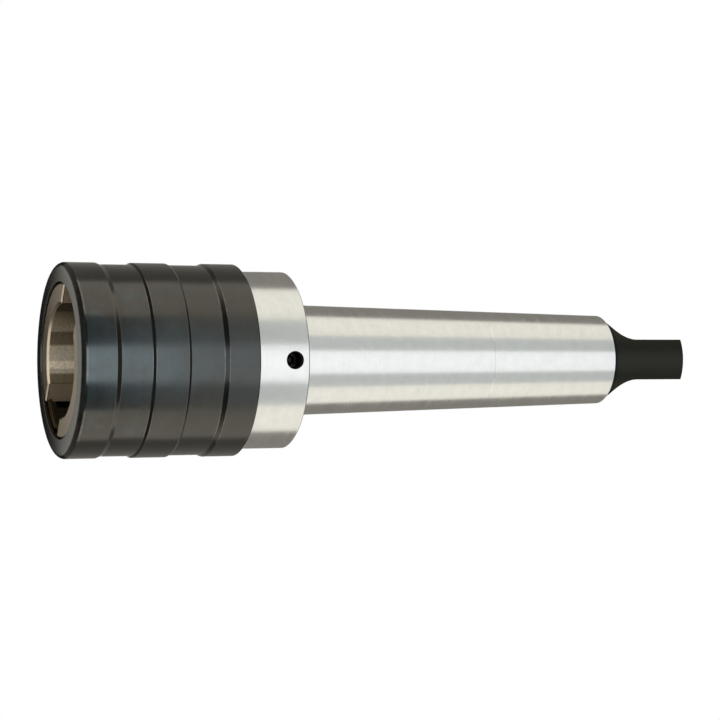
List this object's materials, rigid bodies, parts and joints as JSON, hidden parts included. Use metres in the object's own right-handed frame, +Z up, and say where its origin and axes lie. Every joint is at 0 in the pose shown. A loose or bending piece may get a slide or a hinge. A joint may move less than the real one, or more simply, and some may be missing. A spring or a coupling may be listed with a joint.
{
  "type": "tapping chuck",
  "caption": "Quick-change tapping chuck: tanged taper shank, spring-centred spindle that floats along its axis, and a black sleeve that slides back to free the tap adapter.",
  "frame": {"origin": "on the axis, in the gauge plane of the taper shank, 6.5 mm behind the collar's rear face", "axes": "+X along the axis towards the tang, the mouth looks towards -X, +Z up and square to the tang's flats"},
  "size_m": [0.1882, 0.054, 0.054],
  "materials": {
    "turned_steel": "fine turned and ground",
    "black_oxide": "black oxide, satin",
    "spindle_steel": "hardened and ground, brownish",
    "ring_steel": "tempered brown",
    "spring_steel": "oil tempered",
    "ball_steel": "polished",
    "fastener_steel": "blackened",
    "cage_brass": "turned",
    "black_rubber": "matt"
  },
  "bodies": {
    "shank": {"shank_body": "turned_steel", "filling_screws": "fastener_steel", "buffer_ring": "black_rubber", "anchor_rod": "fastener_steel", "compression_spring": "spring_steel", "tension_spring": "spring_steel"},
    "spindle": {"floating_spindle": "spindle_steel", "front_spring_seat": "spindle_steel", "rear_spring_seat": "spindle_steel", "gland_nut": "fastener_steel", "end_plug": "fastener_steel", "sleeve_retaining_ring": "ring_steel", "sleeve_spring": "spring_steel"},
    "sleeve": {"locking_sleeve": "black_oxide", "sleeve_wiper": "black_rubber"},
    "upper_ball": {"upper_lock_ball": "ball_steel"},
    "lower_ball": {"lower_lock_ball": "ball_steel"},
    "cage": {"ball_cage": "cage_brass", "ball_row_1": "ball_steel", "ball_row_2": "ball_steel", "ball_row_3": "ball_steel"}
  },
  "joints": [
    {"name": "length_compensation", "type": "slide", "parent": "shank", "child": "spindle", "axis": [1, 0, 0], "range_m": [-0.0125, 0.0125], "stiffness_N_per_m": 8000, "deforming": ["compression_spring", "tension_spring"]},
    {"name": "sleeve_release", "type": "slide", "parent": "spindle", "child": "sleeve", "axis": [1, 0, 0], "range_m": [0, 0.004], "stiffness_N_per_m": 2500, "springref_m": -0.004, "deforming": ["sleeve_spring"]},
    {"name": "upper_ball_lift", "type": "slide", "parent": "spindle", "child": "upper_ball", "axis": [0, 0.8261, 0.5635], "range_m": [0, 0.0012]},
    {"name": "lower_ball_lift", "type": "slide", "parent": "spindle", "child": "lower_ball", "axis": [0, -0.8261, -0.5635], "range_m": [0, 0.0012]},
    {"name": "cage_travel", "type": "slide", "parent": "shank", "child": "cage", "axis": [1, 0, 0], "range_m": [-0.00625, 0.00625]}
  ],
  "couplings": [
    {"joint": "upper_ball_lift", "follows": "sleeve_release", "ratio": 0.3},
    {"joint": "lower_ball_lift", "follows": "sleeve_release", "ratio": 0.3},
    {"joint": "cage_travel", "follows": "length_compensation", "ratio": 0.5}
  ]
}
